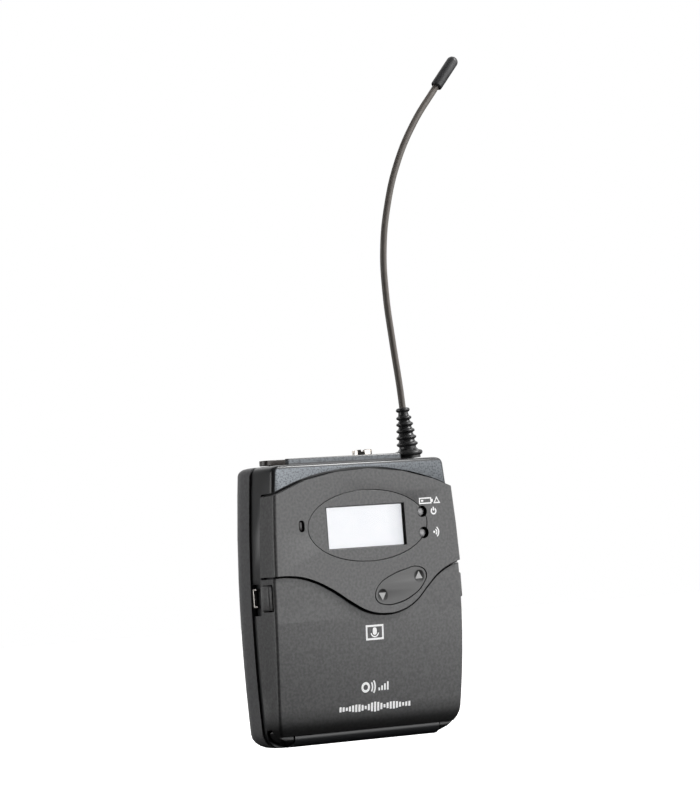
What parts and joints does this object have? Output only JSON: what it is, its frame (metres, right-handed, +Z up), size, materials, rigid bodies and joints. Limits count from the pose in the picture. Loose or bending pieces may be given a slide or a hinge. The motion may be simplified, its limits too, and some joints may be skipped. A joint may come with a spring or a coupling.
{
  "type": "wireless bodypack transmitter",
  "caption": "Belt-worn wireless microphone transmitter with a display, a rocker key, a hinged battery cover, a locking jack, a wire belt clip and a bent flexible whip aerial.",
  "frame": {"origin": "on the flat floor of the pack, on the middle plane of its width and at the middle of its depth", "axes": "+Z up along the pack towards the aerial, -Y out of the display face, +X to the right seen from the front"},
  "size_m": [0.0876, 0.0329, 0.1978],
  "materials": {
    "shell_plastic": "fine-textured matte black moulding",
    "frame_paint": "speckled dark grey paint with a soft gloss",
    "type_plate": "blank grey label plate",
    "black_plastic": "smooth black moulding",
    "slider_plastic": "glossy brown-black moulding",
    "aerial_rubber": "dark rubber with a soft gloss",
    "whip_sleeve": "brown-grey plastic sleeve",
    "nickel": "bright nickel plate",
    "steel": "plain steel",
    "brass": "turned brass",
    "window": "clear window",
    "lcd": "pale liquid crystal display",
    "lamp": "smoky clear lamp",
    "ir_lens": "dark infrared window",
    "board": "green circuit board",
    "keypad_rubber": "dark rubber",
    "cell_wrap": "round cell in a plain printed sleeve"
  },
  "bodies": {
    "housing": {"aerial_boot": "aerial_rubber", "aerial_socket": "brass", "aerial_tip": "aerial_rubber", "aerial_whip": "whip_sleeve", "audio_shield_can": "steel", "back_shell": "shell_plastic", "battery_cell_lower": "cell_wrap", "battery_cell_upper": "cell_wrap", "battery_tray": "black_plastic", "board_connector": "black_plastic", "case_screw_1": "steel", "case_screw_2": "steel", "case_screw_3": "steel", "case_screw_4": "steel", "charging_contact_left": "nickel", "charging_contact_right": "nickel", "chassis_frame": "frame_paint", "contact_plate_lower": "nickel", "contact_plate_upper": "nickel", "contact_spring_lower": "nickel", "contact_spring_upper": "nickel", "display_bezel": "shell_plastic", "display_panel": "shell_plastic", "display_window": "window", "hinge_pin_left": "steel", "hinge_pin_right": "steel", "ir_lens": "ir_lens", "jack_ring_nut": "nickel", "jack_socket": "nickel", "keypad_mat": "keypad_rubber", "lcd_backlight": "lcd", "lcd_module": "lcd", "main_board": "board", "mute_switch_body": "steel", "rf_shield_can": "steel", "spring_plate_lower": "nickel", "spring_plate_upper": "nickel", "status_lamp_power": "lamp", "status_lamp_signal": "lamp", "tact_switch_down": "black_plastic", "tact_switch_power": "black_plastic", "tact_switch_set": "black_plastic", "tact_switch_up": "black_plastic", "type_plate": "type_plate"},
    "battery_cover": {"battery_cover": "shell_plastic"},
    "catch_left": {"cover_catch_left": "black_plastic"},
    "catch_right": {"cover_catch_right": "black_plastic"},
    "rocker": {"rocker_button": "shell_plastic"},
    "set_button": {"set_button": "black_plastic"},
    "power_button": {"power_button": "black_plastic"},
    "mute_slider": {"mute_slider": "slider_plastic"},
    "belt_clip": {"belt_clip": "steel"}
  },
  "joints": [
    {"name": "cover_hinge", "type": "hinge", "parent": "housing", "child": "battery_cover", "pos_m": [0, -0.0026, 0.0026], "axis": [1, 0, 0], "range_deg": [0, 95]},
    {"name": "catch_left_press", "type": "slide", "parent": "battery_cover", "child": "catch_left", "axis": [1, 0, 0], "range_m": [0, 0.0008], "stiffness_N_per_m": 120},
    {"name": "catch_right_press", "type": "slide", "parent": "battery_cover", "child": "catch_right", "axis": [-1, 0, 0], "range_m": [0, 0.0008], "stiffness_N_per_m": 120},
    {"name": "rocker_tilt", "type": "hinge", "parent": "housing", "child": "rocker", "pos_m": [0.0104, -0.0105, 0.0433], "axis": [-0.3333, 0, 0.9428], "range_deg": [-2.5, 2.5], "stiffness_Nm_per_rad": 0.02},
    {"name": "set_press", "type": "slide", "parent": "housing", "child": "set_button", "axis": [0, 1, 0], "range_m": [0, 0.0005], "stiffness_N_per_m": 120},
    {"name": "power_press", "type": "slide", "parent": "housing", "child": "power_button", "axis": [0, 1, 0], "range_m": [0, 0.0005], "stiffness_N_per_m": 120},
    {"name": "mute_slide", "type": "slide", "parent": "housing", "child": "mute_slider", "axis": [-1, 0, 0], "range_m": [0, 0.0016]},
    {"name": "clip_flex", "type": "hinge", "parent": "housing", "child": "belt_clip", "pos_m": [0, 0.0137, 0.068], "axis": [1, 0, 0], "range_deg": [0, 10], "stiffness_Nm_per_rad": 0.4}
  ]
}
